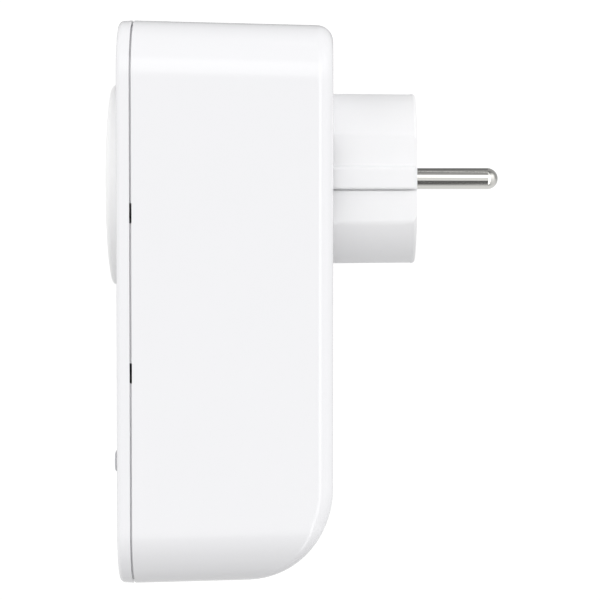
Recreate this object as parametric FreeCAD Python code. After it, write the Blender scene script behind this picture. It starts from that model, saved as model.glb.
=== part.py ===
"""Pass-through powerline adapter: a tall plug-in housing with a mains socket on its front,
a two-pin earthed plug on its back and a network port in its underside.

Frame: millimetres, origin at the centre of the plug's end face, between the two pins.
+Y runs out of the plug into the wall, -Y is the socket side, +Z is up.
"""
import FreeCAD, Part
import math
import os

Vector = FreeCAD.Vector
os.makedirs("parts", exist_ok=True)

# ---- Housing ------------------------------------------------------------------------------
HALF_WIDTH = 34.0        # at the seam, where the housing is largest
TOP_Z = 35.4
BOTTOM_Z = -91.3
CORNER_R = 13.0          # corners seen from the front
REAR_Y = -19.1           # flat back of the housing
SEAM_Y = -63.65          # front rim of the rear housing
WALL = 2.0
DRAFT = math.tan(math.radians(1.4))
REAR_ROUND = 3.6         # rounding of the rear edge
HEEL_R = 21.3            # large curve from the underside up to the back
HEEL_CORNER = 5.0        # the lower corners narrow to this, side to side, up the heel
SEAM_GAP = 0.4
SKIRT = 0.9              # rim of the cover, outside the housing's lip
LIP_INSET = 1.0

VENTS = 9                # slots in the top
VENT_PITCH = 4.2
VENT_WIDTH = 1.4
VENT_Y = (-54.0, -34.0)
LABEL_HALF_X = 20.0      # blank rating label on the back
LABEL_Z = (-54.0, -27.0)
LABEL_RECESS = 0.3       # its depth, and the gap round the label

# ---- Cover --------------------------------------------------------------------------------
COVER_BACK_Y = SEAM_Y - SEAM_GAP
COVER_FRONT_Y = -67.0
COVER_INNER_Y = -65.2
COVER_EDGE_ROUND = 1.2
NOTCH_HEIGHT = 4.45      # snap openings in the seam, on both sides
NOTCH_Z = (-7.6, -43.0)
NOTCH_BITE = 0.12        # the openings also nick the housing's rim
COVER_SHRINK = 0.19      # the rim leans in this much from back to front

# ---- Socket -------------------------------------------------------------------------------
SOCKET_Z = -1.5          # height of the socket's axis
COLLAR_R = 23.25
COLLAR_FRONT_Y = -70.15
WELL_R = 19.75
WELL_FLOOR_Y = -52.8
FLOOR_BACK_Y = -50.3
SKIRT_BACK_Y = -46.6     # rear end of the moulding behind the floor
SKIRT_INNER_R = 21.5
FLANGE_R = 25.5
PIN_X = 9.5              # half the pin spacing
ENTRY_R = 2.75           # pin holes in the floor of the socket
EARTH_SLOT_HALF = 2.2
WELL_RIB_X = 17.55       # inner face of the ribs at the sides of the well
CHAMBER_END_Y = -34.6
CONTACT_R = 3.5
SHUTTER_Y = (-50.1, -48.7)

# ---- Plug ---------------------------------------------------------------------------------
PLUG_R_ROOT = 19.85
PLUG_R_END = 19.65
PLUG_FLAT_X = 17.3       # flats at the sides
PLUG_RIB_X = 18.6
PLUG_RIB_LOW = -2.35     # the rib on each flat, below and above the pins' level
PLUG_RIB_HIGH = 2.95
PLUG_RIB_ROUND = 0.5     # lower edge of the rib
PLUG_RIB_CROWN = 1.1     # upper edge of the rib
PLUG_GROOVE = 0.4        # height of the parting groove under the rib
PLUG_GROOVE_DEPTH = 0.8
PLUG_FLANGE_R = 21.5
PLUG_FLANGE_Y = -23.4
REAR_INNER_Y = REAR_Y - WALL
PIN_R = 2.4
PIN_ROOT_R = 2.9
PIN_LENGTH = 18.7
PIN_TAIL_Y = -24.5
PLUG_EARTH_Z = 10.0      # centre of the hole for an earth pin
PLUG_EARTH_R = 2.5
PLUG_HOLLOW_R = 15.5
STRAP_SLOT_HALF = 2.8
STRAP_Y = -25.6          # front face of the earth strap behind the plug
WIRE_R = 1.1
WIRE_BEND_R = 5.0
WIRE_TURN_Z = -31.0
SHEET_Z = (-25.2, -24.8)

# ---- Screws -------------------------------------------------------------------------------
SCREW_TOP = (23.5, 24.0)
SCREW_LOW = (25.5, -66.0)
TOWER_R = 4.2
BOSS_R = 3.8
COUNTERBORE_R = 3.1
SCREW_HOLE_R = 1.7
SCREW_SEAT_Y = -46.0
SCREW_HEAD_R = 2.7
SCREW_HEAD = 2.2
SCREW_R = 1.45
SCREW_LENGTH = 16.5

# ---- Board --------------------------------------------------------------------------------
BOARD_BACK_Y = -55.2
BOARD_FRONT_Y = -56.8
BOARD_HALF_WIDTH = 30.0
BOARD_TOP_Z = -26.0
BOARD_BOTTOM_Z = -88.0

# Places on the board as (x, z).
TRANSFORMER = (20.0, -53.0)
CAPACITORS = ((-23.5, -34.5), (-23.5, -46.0))
CAPACITOR_R = 5.2
CAPACITOR_LENGTH = 21.0
FILTER = (0.0, -41.0)
FUSE = (19.0, -32.5)
VARISTOR_X = (25.0, 28.5)
VARISTOR_Z = -34.0
CHOKE = (0.0, -53.0)
BRIDGE = (16.0, -42.0)
COUPLING = (-23.0, -57.0)
MAGNETICS = (-10.0, -64.0)
MODEM = (0.0, -44.0)
MEMORY = (18.0, -44.0)
CRYSTAL = (-19.0, -44.0)
CHIP_HEIGHT = 1.0
PAD_HEIGHT = 0.5
SINK_BASE = 1.4
SINK_FINS = 8
SINK_PITCH = 2.6

# ---- Network port -------------------------------------------------------------------------
JACK_X = -10.0
JACK_WIDTH = 16.0
JACK_DEPTH = 13.5
JACK_BOTTOM_Z = -90.3
JACK_TOP_Z = -69.0
JACK_Y0 = BOARD_BACK_Y
JACK_Y1 = BOARD_BACK_Y + JACK_DEPTH
SHIELD = 0.3
PORT_GAP = 0.2

# ---- Controls -----------------------------------------------------------------------------
CONTROL_Z = -64.0
BUTTON_X = 16.5
BUTTON_FRONT_Y = -68.4
BUTTON_LENGTH = 9.0
BUTTON_HEIGHT = 4.65
BUTTON_STEM_END_Y = -61.0
LIGHT_X = (-18.0, -10.0, -2.0)
LIGHT_R = 1.0
RESET_X = 12.0
RESET_Y = -52.5
RESET_BORE_R = 1.0
SWITCH_HEIGHT = 3.3

SIDES = (-1, 1)


def block(x0, x1, y0, y1, z0, z1):
    return Part.makeBox(x1 - x0, y1 - y0, z1 - z0, Vector(x0, y0, z0))


def rod_x(y, z, r, x0, x1):
    return Part.makeCylinder(r, x1 - x0, Vector(x0, y, z), Vector(1, 0, 0))


def rod_y(x, z, r, y0, y1):
    return Part.makeCylinder(r, y1 - y0, Vector(x, y0, z), Vector(0, 1, 0))


def rod_z(x, y, r, z0, z1):
    return Part.makeCylinder(r, z1 - z0, Vector(x, y, z0), Vector(0, 0, 1))


def ring_y(x, z, outer, inner, y0, y1):
    return rod_y(x, z, outer, y0, y1).cut(rod_y(x, z, inner, y0 - 1, y1 + 1))


def join(shapes):
    """One solid from pieces that overlap or touch."""
    return shapes[0].multiFuse(shapes[1:]).removeSplitter()


def corner_arc(y, cx, cz, rx, rz, start):
    """Quarter round in the plane at y, from the start angle; an ellipse if rx is under rz."""
    ends = []
    for turn in (0, 45, 90):
        a = math.radians(start + turn)
        ends.append(Vector(cx + rx * math.cos(a), y, cz + rz * math.sin(a)))
    if rz - rx < 0.001:
        return Part.Arc(*ends).toShape(), ends
    side = Vector(cx + math.copysign(rx, ends[1].x - cx), y, cz)
    foot = Vector(cx, y, cz + math.copysign(rz, ends[1].z - cz))
    quarter = Part.ArcOfEllipse(Part.Ellipse(foot, side, Vector(cx, y, cz)), 0, math.pi / 2)
    return quarter.toShape(), ends


def rounded_wire(y, half_x, z0, z1, r, low_rx=None):
    """Rounded rectangle in the plane at y; its lower corners may be narrower side to side."""
    low = r if low_rx is None else low_rx
    corners = [
        corner_arc(y, half_x - low, z0 + r, low, r, 270),
        corner_arc(y, half_x - r, z1 - r, r, r, 0),
        corner_arc(y, r - half_x, z1 - r, r, r, 90),
        corner_arc(y, low - half_x, z0 + r, low, r, 180),
    ]
    edges = []
    for i, (arc, ends) in enumerate(corners):
        edges.append(arc)
        edges.append(Part.makeLine(ends[2], corners[(i + 1) % 4][1][0]))
    return Part.Wire(edges)


def rounded_slab(y0, y1, half_x, z0, z1, r):
    face = Part.Face(rounded_wire(y0, half_x, z0, z1, r))
    return face.extrude(Vector(0, y1 - y0, 0))


def pill(x, z, length, height, y0, y1):
    """Bar with round ends, lying along X."""
    half = (length - height) / 2
    r = height / 2
    return join([
        block(x - half, x + half, y0, y1, z - r, z + r),
        rod_y(x - half, z, r, y0, y1),
        rod_y(x + half, z, r, y0, y1),
    ])


def housing_wire(y, inset, round_rear):
    """Outline of the housing at depth y, inset by a wall thickness."""
    taper = DRAFT * (y - SEAM_Y)
    edge = 0.0
    from_round = y - (REAR_Y - REAR_ROUND)
    if round_rear and from_round > 0:
        edge = REAR_ROUND - math.sqrt(max(REAR_ROUND ** 2 - from_round ** 2, 0))
    heel = 0.0
    narrow = 0.0
    heel_r = HEEL_R - inset
    from_heel = y - (REAR_Y - HEEL_R)
    if from_heel > 0:
        heel = heel_r - math.sqrt(max(heel_r ** 2 - from_heel ** 2, 0))
        climb = math.asin(min(from_heel / heel_r, 1.0)) / math.radians(90)
        narrow = (CORNER_R - HEEL_CORNER) * climb
    side = inset + taper + edge
    bottom = BOTTOM_Z + inset + taper + heel
    corner = CORNER_R - inset - edge
    return rounded_wire(y, HALF_WIDTH - side, bottom, TOP_Z - side, corner, corner - narrow)


def housing_form(inset, y0, y1, round_rear):
    """Solid of the housing's outline, tapering to the rear with its big lower curve."""
    heel_start = REAR_Y - HEEL_R
    levels = [y0, heel_start]
    reach = y1 - heel_start
    steps = 9
    limit = math.asin(min(reach / (HEEL_R - inset), 1.0))
    for i in range(1, steps + 1):
        levels.append(heel_start + (HEEL_R - inset) * math.sin(limit * i / steps))
    if round_rear:
        for i in range(1, 6):
            levels.append(REAR_Y - REAR_ROUND * (1 - math.sin(math.radians(90 * i / 6))))
        levels.append(REAR_Y - REAR_ROUND)
    levels = sorted(set(round(level, 4) for level in levels))
    wires = [housing_wire(level, inset, round_rear) for level in levels]
    return Part.makeLoft(wires, True, True)


def screw_places():
    places = []
    for side in SIDES:
        places.append((side * SCREW_TOP[0], SCREW_TOP[1], BOARD_BACK_Y))
        places.append((side * SCREW_LOW[0], SCREW_LOW[1], BOARD_FRONT_Y))
    return places


def rear_housing():
    """Deep white shell with the screw towers, the lip for the cover and the port opening."""
    outer = housing_form(0.0, SEAM_Y, REAR_Y, True)
    inner = housing_form(WALL, SEAM_Y - 1, REAR_INNER_Y, False)
    shell = outer.cut(inner)
    z0 = BOTTOM_Z + LIP_INSET
    z1 = TOP_Z - LIP_INSET
    lip = rounded_slab(COVER_INNER_Y + 0.1, SEAM_Y + 1, HALF_WIDTH - LIP_INSET, z0, z1,
                       CORNER_R - LIP_INSET)
    hollow = rounded_slab(COVER_INNER_Y - 1, SEAM_Y + 2, HALF_WIDTH - WALL, BOTTOM_Z + WALL,
                          TOP_Z - WALL, CORNER_R - WALL)
    lip = lip.cut(hollow)
    for z in NOTCH_Z:
        half = NOTCH_HEIGHT / 2
        notch = block(-HALF_WIDTH - 1, HALF_WIDTH + 1, COVER_INNER_Y - 1, SEAM_Y + NOTCH_BITE,
                      z - half, z + half)
        lip = lip.cut(notch)
        shell = shell.cut(notch)
    solids = [shell, lip]
    for x, z, _ in screw_places():
        tower = rod_y(x, z, TOWER_R, BOARD_BACK_Y, REAR_INNER_Y + 0.5)
        solids.append(tower.common(outer))
    body = join(solids)
    cuts = [rod_y(0, 0, PLUG_R_ROOT + 0.1, REAR_INNER_Y - 1, REAR_Y + 1)]
    for x, z, _ in screw_places():
        cuts.append(rod_y(x, z, COUNTERBORE_R, SCREW_SEAT_Y, REAR_Y + 1))
        cuts.append(rod_y(x, z, SCREW_HOLE_R, BOARD_BACK_Y - 1, SCREW_SEAT_Y))
    half = JACK_WIDTH / 2 + PORT_GAP
    cuts.append(block(JACK_X - half, JACK_X + half, JACK_Y0 - PORT_GAP, JACK_Y1 + PORT_GAP,
                      BOTTOM_Z - 1, BOTTOM_Z + 3 * WALL))
    cuts.append(rod_z(RESET_X, RESET_Y, RESET_BORE_R, BOTTOM_Z - 1, BOTTOM_Z + 3 * WALL))
    for i in range(VENTS):
        x = (i - (VENTS - 1) / 2) * VENT_PITCH
        cuts.append(block(x - VENT_WIDTH / 2, x + VENT_WIDTH / 2, *VENT_Y, TOP_Z - 3 * WALL,
                          TOP_Z + 1))
    half = LABEL_HALF_X + LABEL_RECESS
    cuts.append(block(-half, half, REAR_Y - LABEL_RECESS, REAR_Y + 1,
                      LABEL_Z[0] - LABEL_RECESS, LABEL_Z[1] + LABEL_RECESS))
    return body.cut(cuts)


def rating_label():
    """Blank printed plate in its shallow recess on the back."""
    return block(-LABEL_HALF_X, LABEL_HALF_X, REAR_Y - LABEL_RECESS, REAR_Y - 0.1, *LABEL_Z)


def front_cover():
    """Front plate with a thin rim, a collar hole, a button hole and three light holes."""
    back = rounded_wire(COVER_BACK_Y, HALF_WIDTH, BOTTOM_Z, TOP_Z, CORNER_R)
    front = rounded_wire(COVER_FRONT_Y, HALF_WIDTH - COVER_SHRINK, BOTTOM_Z + COVER_SHRINK,
                         TOP_Z - COVER_SHRINK, CORNER_R - COVER_SHRINK)
    plate = Part.makeLoft([back, front], True, True)
    edges = [e for e in plate.Edges if e.BoundBox.YMax < COVER_FRONT_Y + 0.01]
    plate = plate.makeFillet(COVER_EDGE_ROUND, edges)
    plate = plate.cut(rounded_slab(COVER_INNER_Y, COVER_BACK_Y + 1, HALF_WIDTH - SKIRT,
                                   BOTTOM_Z + SKIRT, TOP_Z - SKIRT, CORNER_R - SKIRT))
    solids = [plate]
    for x, z, end in screw_places():
        solids.append(rod_y(x, z, BOSS_R, COVER_INNER_Y - 0.5, end))
    body = join(solids)
    cuts = [rod_y(0, SOCKET_Z, COLLAR_R + 0.1, COVER_FRONT_Y - 1, COVER_INNER_Y + 1)]
    cuts.append(pill(BUTTON_X, CONTROL_Z, BUTTON_LENGTH + 0.3, BUTTON_HEIGHT + 0.3,
                     COVER_FRONT_Y - 1, COVER_INNER_Y + 0.5))
    for x in LIGHT_X:
        cuts.append(rod_y(x, CONTROL_Z, LIGHT_R + 0.05, COVER_FRONT_Y - 1, COVER_INNER_Y + 1))
    for x, z, end in screw_places():
        cuts.append(rod_y(x, z, SCREW_R + 0.05, COVER_INNER_Y + 0.6, end + 1))
    return body.cut(cuts)


def housing_screws():
    """Four pan-head screws with a cross recess, driven from the back."""
    top = SCREW_SEAT_Y + SCREW_HEAD
    recess_half = (1.5, 0.3)
    screws = []
    for x, z, _ in screw_places():
        head = rod_y(x, z, SCREW_HEAD_R, SCREW_SEAT_Y, top)
        head = head.makeFillet(0.8, [e for e in head.Edges if e.BoundBox.YMin > top - 0.1])
        shank = rod_y(x, z, SCREW_R, SCREW_SEAT_Y - SCREW_LENGTH, SCREW_SEAT_Y)
        screw = join([head, shank])
        for half_x, half_z in (recess_half, recess_half[::-1]):
            screw = screw.cut(block(x - half_x, x + half_x, top - 1.2, top + 1,
                                    z - half_z, z + half_z))
        screws.append(screw)
    return Part.Compound(screws)


def socket_insert():
    """Socket moulding: proud collar, deep round well, floor with two pin holes, rear skirt."""
    body = rod_y(0, SOCKET_Z, COLLAR_R, COLLAR_FRONT_Y, SKIRT_BACK_Y)
    front_edges = [e for e in body.Edges if e.BoundBox.YMax < COLLAR_FRONT_Y + 0.01]
    body = body.makeFillet(1.1, front_edges)
    body = body.fuse(rod_y(0, SOCKET_Z, FLANGE_R, COVER_INNER_Y, COVER_INNER_Y + 2))
    body = body.cut(rod_y(0, SOCKET_Z, WELL_R, COLLAR_FRONT_Y - 1, WELL_FLOOR_Y))
    body = body.cut(rod_y(0, SOCKET_Z, SKIRT_INNER_R, FLOOR_BACK_Y, SKIRT_BACK_Y + 1))
    ribs = []
    for side in SIDES:
        x0, x1 = sorted((side * WELL_RIB_X, side * (WELL_R + 0.5)))
        ribs.append(block(x0, x1, COLLAR_FRONT_Y + 1.3, WELL_FLOOR_Y, SOCKET_Z - 2.5,
                          SOCKET_Z + 2.5))
    body = join([body] + ribs)
    cuts = []
    for side in SIDES:
        cuts.append(rod_y(side * PIN_X, SOCKET_Z, ENTRY_R, WELL_FLOOR_Y - 1, FLOOR_BACK_Y + 1))
        z0, z1 = sorted((SOCKET_Z + side * 19.2, SOCKET_Z + side * 22.0))
        cuts.append(block(-EARTH_SLOT_HALF, EARTH_SLOT_HALF, COLLAR_FRONT_Y + 1.8,
                          SKIRT_BACK_Y - 3.0, z0, z1))
    return body.cut(cuts)


def strip(points, thickness, half_width):
    """Bent flat spring: a band of the given thickness along points in the YZ plane."""
    near = []
    far = []
    count = len(points)
    for i, (y, z) in enumerate(points):
        ya, za = points[max(i - 1, 0)]
        yb, zb = points[min(i + 1, count - 1)]
        run = math.hypot(yb - ya, zb - za)
        ny = -(zb - za) / run * thickness / 2
        nz = (yb - ya) / run * thickness / 2
        near.append(Vector(-half_width, y + ny, z + nz))
        far.append(Vector(-half_width, y - ny, z - nz))
    wire = Part.makePolygon(near + far[::-1] + [near[0]])
    return Part.Face(wire).extrude(Vector(2 * half_width, 0, 0))


def socket_earth_clips():
    """Two sprung earth strips at the top and bottom of the well, joined behind the carrier."""
    solids = []
    for side in SIDES:
        path = ((-46.4, 20.8), (-56.0, 20.8), (-59.0, 20.0), (-62.0, 18.4), (-64.0, 18.4),
                (-66.5, 20.4))
        solids.append(strip([(y, SOCKET_Z + side * z) for y, z in path], 0.6, 2.0))
    bridge = block(-2.0, 2.0, -46.5, -45.9, SOCKET_Z - 21.1, SOCKET_Z + 21.1)
    return join(solids + [bridge])


def contact_carrier():
    """Disc that closes the socket from behind, with two contact chambers and a shutter boss."""
    body = join([
        rod_y(0, SOCKET_Z, SKIRT_INNER_R - 0.1, -48.4, SKIRT_BACK_Y),
        rod_y(0, SOCKET_Z, 2.0, -50.25, -48.0),
        rod_y(-PIN_X, SOCKET_Z, 4.7, SKIRT_BACK_Y - 0.4, CHAMBER_END_Y),
        rod_y(PIN_X, SOCKET_Z, 4.7, SKIRT_BACK_Y - 0.4, CHAMBER_END_Y),
    ])
    cuts = [ring_y(0, SOCKET_Z, 4.4, 2.7, -48.5, -47.4)]
    for side in SIDES:
        cuts.append(rod_y(side * PIN_X, SOCKET_Z, 2.9, -49, SKIRT_BACK_Y + 1))
        cuts.append(rod_y(side * PIN_X, SOCKET_Z, CONTACT_R + 0.2, -46.5, -33))
        z0, z1 = sorted((SOCKET_Z + side * 19.0, SOCKET_Z + side * 23.0))
        cuts.append(block(-2.3, 2.3, -49, SKIRT_BACK_Y + 1, z0, z1))
    return body.cut(cuts)


def socket_contact(side):
    """Split spring sleeve that grips a plug pin."""
    x = side * PIN_X
    sleeve = ring_y(x, SOCKET_Z, CONTACT_R, CONTACT_R - 1.0, -46.4, -35.3)
    cap = rod_y(x, SOCKET_Z, CONTACT_R, -35.5, -34.5)
    body = join([sleeve, cap])
    return body.cut(block(x - 0.4, x + 0.4, -47, -38, SOCKET_Z, SOCKET_Z + 5))


def busbar(side):
    """Bent strap from the socket contact to the tail of the plug pin."""
    x = side * PIN_X
    half = 2.4
    return join([
        block(x - half, x + half, -34.5, -33.5, -4.0, 3.4),
        block(x - half, x + half, -34.5, PIN_TAIL_Y, 2.4, 3.4),
        block(x - half, x + half, PIN_TAIL_Y - 1.0, PIN_TAIL_Y, -3.0, 3.4),
    ])


def shutter():
    """Child-safety shutter: a hub with two wings that cover the pin holes until turned."""
    wings = []
    for side in SIDES:
        outer = ring_y(0, SOCKET_Z, PIN_X + 3.3, 3.6, *SHUTTER_Y)
        wedge_points = [Vector(0, -51, SOCKET_Z)]
        for a in (-18.0, 18.0):
            t = math.radians(a)
            wedge_points.append(Vector(side * 20 * math.cos(t), -51, SOCKET_Z + 20 * math.sin(t)))
        wire = Part.makePolygon(wedge_points + [wedge_points[0]])
        wings.append(outer.common(Part.Face(wire).extrude(Vector(0, 3, 0))))
    hub = ring_y(0, SOCKET_Z, 4.2, 2.05, *SHUTTER_Y)
    return join([hub] + wings)


def shutter_spring():
    """Return spring of the shutter, wound round the boss in a groove of the carrier."""
    wire_r = 0.22
    coils = []
    for i in range(2):
        coil = Part.makeTorus(3.5, wire_r, Vector(0, -48.02 + 0.38 * i, SOCKET_Z), Vector(0, 1, 0))
        coils.append(coil)
    return join(coils)


def plug_body():
    """Round plug moulding with side flats, a rib on each flat and an earth recess."""
    length = -REAR_INNER_Y
    body = Part.makeCone(PLUG_R_ROOT, PLUG_R_END, length, Vector(0, REAR_INNER_Y, 0),
                         Vector(0, 1, 0))
    body = body.makeFillet(0.8, [e for e in body.Edges if e.BoundBox.YMin > -0.01])
    keep = block(-PLUG_FLAT_X, PLUG_FLAT_X, REAR_INNER_Y, 1, -25, 25)
    ribs = []
    for side in SIDES:
        x0, x1 = sorted((side * (PLUG_FLAT_X - 2), side * PLUG_RIB_X))
        rib = block(x0, x1, REAR_INNER_Y, -0.6, PLUG_RIB_LOW, PLUG_RIB_HIGH)
        for level, r in ((PLUG_RIB_LOW, PLUG_RIB_ROUND), (PLUG_RIB_HIGH, PLUG_RIB_CROWN)):
            crest = [e for e in rib.Edges if abs(abs(e.BoundBox.XMin) - PLUG_RIB_X) < 0.01
                     and e.BoundBox.YLength > 1 and abs(e.BoundBox.ZMin - level) < 0.01]
            rib = rib.makeFillet(r, crest)
        ribs.append(rib)
    body = join([body.common(keep)] + ribs)
    for side in SIDES:
        x0, x1 = sorted((side * (PLUG_FLAT_X - PLUG_GROOVE_DEPTH), side * PLUG_RIB_X))
        body = body.cut(block(x0, x1, REAR_Y, 1, PLUG_RIB_LOW - PLUG_GROOVE, PLUG_RIB_LOW))
    body = body.fuse(rod_y(0, 0, PLUG_FLANGE_R, PLUG_FLANGE_Y, REAR_INNER_Y))
    hollow = rod_y(0, 0, PLUG_HOLLOW_R, PLUG_FLANGE_Y - 1, -3.0)
    for side in SIDES:
        hollow = hollow.cut(rod_y(side * PIN_X, 0, 4.6, PLUG_FLANGE_Y, 0))
    hollow = hollow.cut(rod_y(0, PLUG_EARTH_Z, 4.6, PLUG_FLANGE_Y, 0))
    hollow = hollow.cut(block(-1, 1, PLUG_FLANGE_Y + 4, 0, -16, 16))
    hollow = hollow.cut(block(-16, 16, PLUG_FLANGE_Y + 4, 0, -1, 1))
    cuts = [hollow, rod_y(0, PLUG_EARTH_Z, 3.45, PLUG_FLANGE_Y - 1, -2.5)]
    cuts.append(rod_y(0, PLUG_EARTH_Z, PLUG_EARTH_R + 0.3, -4, 1))
    for side in SIDES:
        cuts.append(rod_y(side * PIN_X, 0, PIN_ROOT_R + 0.03, PLUG_FLANGE_Y - 1, 1))
        z0, z1 = sorted((side * 16.9, side * 22.0))
        cuts.append(block(-STRAP_SLOT_HALF, STRAP_SLOT_HALF, REAR_Y, -1.0, z0, z1))
        z0, z1 = sorted((side * 16.9, side * 19.5))
        cuts.append(block(-STRAP_SLOT_HALF, STRAP_SLOT_HALF, PLUG_FLANGE_Y - 1, REAR_Y + 1, z0, z1))
    return body.cut(cuts).removeSplitter()


def plug_pin(side):
    """Solid round plug pin with a domed end and a thicker root held by the plug moulding."""
    x = side * PIN_X
    straight = PIN_LENGTH - PIN_R
    return join([
        rod_y(x, 0, PIN_ROOT_R, PIN_TAIL_Y, 0),
        rod_y(x, 0, 3.8, PIN_TAIL_Y, PLUG_FLANGE_Y),
        rod_y(x, 0, PIN_R, -1, straight),
        Part.makeSphere(PIN_R, Vector(x, straight, 0)),
    ])


def plug_earth_strips():
    """One bent strap whose two ends are the earth contacts at the top and bottom of the plug."""
    solids = [block(-2.4, 2.4, STRAP_Y, STRAP_Y + 0.8, -19.0, 19.0)]
    for side in SIDES:
        path = ((STRAP_Y, 18.6), (-17.5, 18.6), (-15.0, 18.2), (-4.5, 18.2), (-1.6, 17.4))
        solids.append(strip([(y, side * z) for y, z in path], 0.8, 2.4))
    return join(solids)


def earth_sleeve():
    """Sleeve for the wall socket's earth pin."""
    return ring_y(0, PLUG_EARTH_Z, 3.4, PLUG_EARTH_R, STRAP_Y + 0.8, -2.5)


def earth_link():
    """Strip that joins the socket's earth clips to the plug's earth strap."""
    return join([
        block(-1.8, 1.8, -45.9, -45.1, 14.0, 18.0),
        block(-1.8, 1.8, -45.9, STRAP_Y, 17.2, 18.0),
        block(-1.8, 1.8, STRAP_Y - 0.8, STRAP_Y, 14.0, 18.0),
    ])


def main_board():
    """Circuit board across the lower half of the housing, held at its lower corners."""
    board = block(-BOARD_HALF_WIDTH, BOARD_HALF_WIDTH, BOARD_FRONT_Y, BOARD_BACK_Y,
                  BOARD_BOTTOM_Z, BOARD_TOP_Z)
    corners = [e for e in board.Edges if e.BoundBox.YLength > 1
               and e.BoundBox.ZMax < BOARD_BOTTOM_Z + 1]
    board = board.makeFillet(10.0, corners)
    cuts = []
    for side in SIDES:
        cuts.append(rod_y(side * SCREW_LOW[0], SCREW_LOW[1], 1.8, BOARD_FRONT_Y - 1,
                          BOARD_BACK_Y + 1))
    return board.cut(cuts)


def on_back(x, z, width, height, depth, lift=0.0):
    """Block on the rear side of the board, centred at x, z."""
    y0 = BOARD_BACK_Y + lift
    return block(x - width / 2, x + width / 2, y0, y0 + depth, z - height / 2, z + height / 2)


def on_front(x, z, width, height, depth):
    """Block on the front side of the board, centred at x, z."""
    y1 = BOARD_FRONT_Y
    return block(x - width / 2, x + width / 2, y1 - depth, y1, z - height / 2, z + height / 2)


def ethernet_jack():
    """Plastic body of the network port, open downwards, with the latch channel at its rear."""
    half = JACK_WIDTH / 2 - SHIELD
    body = block(JACK_X - half, JACK_X + half, JACK_Y0, JACK_Y1 - SHIELD, JACK_BOTTOM_Z,
                 JACK_TOP_Z - SHIELD)
    body = body.cut(block(JACK_X - 5.9, JACK_X + 5.9, JACK_Y0 + 1.6, JACK_Y0 + 8.8,
                          JACK_BOTTOM_Z - 1, JACK_BOTTOM_Z + 13.5))
    body = body.cut(block(JACK_X - 3.2, JACK_X + 3.2, JACK_Y0 + 8.0, JACK_Y0 + 11.6,
                          JACK_BOTTOM_Z - 1, JACK_BOTTOM_Z + 9.5))
    return body


def jack_shield():
    """Folded metal can around the network port's body."""
    half = JACK_WIDTH / 2
    can = block(JACK_X - half, JACK_X + half, JACK_Y0, JACK_Y1, JACK_BOTTOM_Z + 0.6, JACK_TOP_Z)
    inside = half - SHIELD
    return can.cut(block(JACK_X - inside, JACK_X + inside, JACK_Y0 - 1, JACK_Y1 - SHIELD,
                         JACK_BOTTOM_Z - 1, JACK_TOP_Z - SHIELD))


def jack_contacts():
    """Eight gold wires that slope down into the mouth of the network port."""
    wires = []
    for i in range(8):
        x = JACK_X + (i - 3.5) * 1.02
        y = JACK_Y0 + 1.6
        root_z = JACK_BOTTOM_Z + 13.4
        points = [
            Vector(x - 0.15, y + 0.05, root_z),
            Vector(x - 0.15, y + 0.4, root_z),
            Vector(x - 0.15, y + 2.1, JACK_BOTTOM_Z + 4.0),
            Vector(x - 0.15, y + 1.7, JACK_BOTTOM_Z + 4.0),
        ]
        wire = Part.makePolygon(points + [points[0]])
        wires.append(Part.Face(wire).extrude(Vector(0.3, 0, 0)))
    return Part.Compound(wires)


def pair_button():
    """Front push button with its retaining flange and stem."""
    cap = pill(BUTTON_X, CONTROL_Z, BUTTON_LENGTH, BUTTON_HEIGHT, BUTTON_FRONT_Y, -64.8)
    cap = cap.makeFillet(0.4, [e for e in cap.Edges if e.BoundBox.YMax < BUTTON_FRONT_Y + 0.01])
    return join([
        cap,
        pill(BUTTON_X, CONTROL_Z, BUTTON_LENGTH + 1.4, BUTTON_HEIGHT + 1.4, -65.1, -64.3),
        rod_y(BUTTON_X, CONTROL_Z, 1.6, -64.8, BUTTON_STEM_END_Y),
    ])


def pair_switch():
    """Small push switch on the board, behind the front button."""
    body = on_front(BUTTON_X, CONTROL_Z, 6.0, 6.0, SWITCH_HEIGHT)
    return body.cut(rod_y(BUTTON_X, CONTROL_Z, 1.8, BOARD_FRONT_Y - 4, BOARD_FRONT_Y - 0.8))


def pair_switch_plunger():
    return rod_y(BUTTON_X, CONTROL_Z, 1.75, BUTTON_STEM_END_Y + 0.05, BOARD_FRONT_Y - 1.6)


def reset_switch():
    """Side-acting push switch above the reset hole."""
    body = block(RESET_X - 3, RESET_X + 3, BOARD_BACK_Y, BOARD_BACK_Y + 5.0, -86.0, -82.0)
    return body.cut(rod_z(RESET_X, RESET_Y, RESET_BORE_R, -87, -84.2))


def reset_plunger():
    return rod_z(RESET_X, RESET_Y, 0.95, -88.0, -84.9)


def light_guide():
    """Clear moulding that brings three lights to the front."""
    solids = [block(-20.0, 0.0, -64.2, -63.0, CONTROL_Z - 1.6, CONTROL_Z + 1.6)]
    for x in LIGHT_X:
        solids.append(rod_y(x, CONTROL_Z, LIGHT_R, COVER_FRONT_Y, -63.5))
        solids.append(rod_y(x, CONTROL_Z, 1.2, -63.5, BOARD_FRONT_Y - 1.1))
    for x in (-14.0, -6.0):
        solids.append(rod_y(x, CONTROL_Z, 0.8, -63.5, BOARD_FRONT_Y))
    return join(solids)


def led_chips():
    chips = [on_front(x, CONTROL_Z, 2.0, 1.4, 0.9) for x in LIGHT_X]
    return Part.Compound(chips)


def transformer_bobbin():
    """Plastic bobbin of the supply transformer, with a hollow post."""
    base = on_back(*TRANSFORMER, 15.0, 14.0, 2.0)
    top = on_back(*TRANSFORMER, 15.0, 14.0, 1.2, 11.0)
    middle = on_back(*TRANSFORMER, 9.0, 7.4, 10.0, 1.5)
    post = on_back(*TRANSFORMER, 7.0, 5.4, 20.0)
    return join([base, middle, top]).cut(post)


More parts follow.
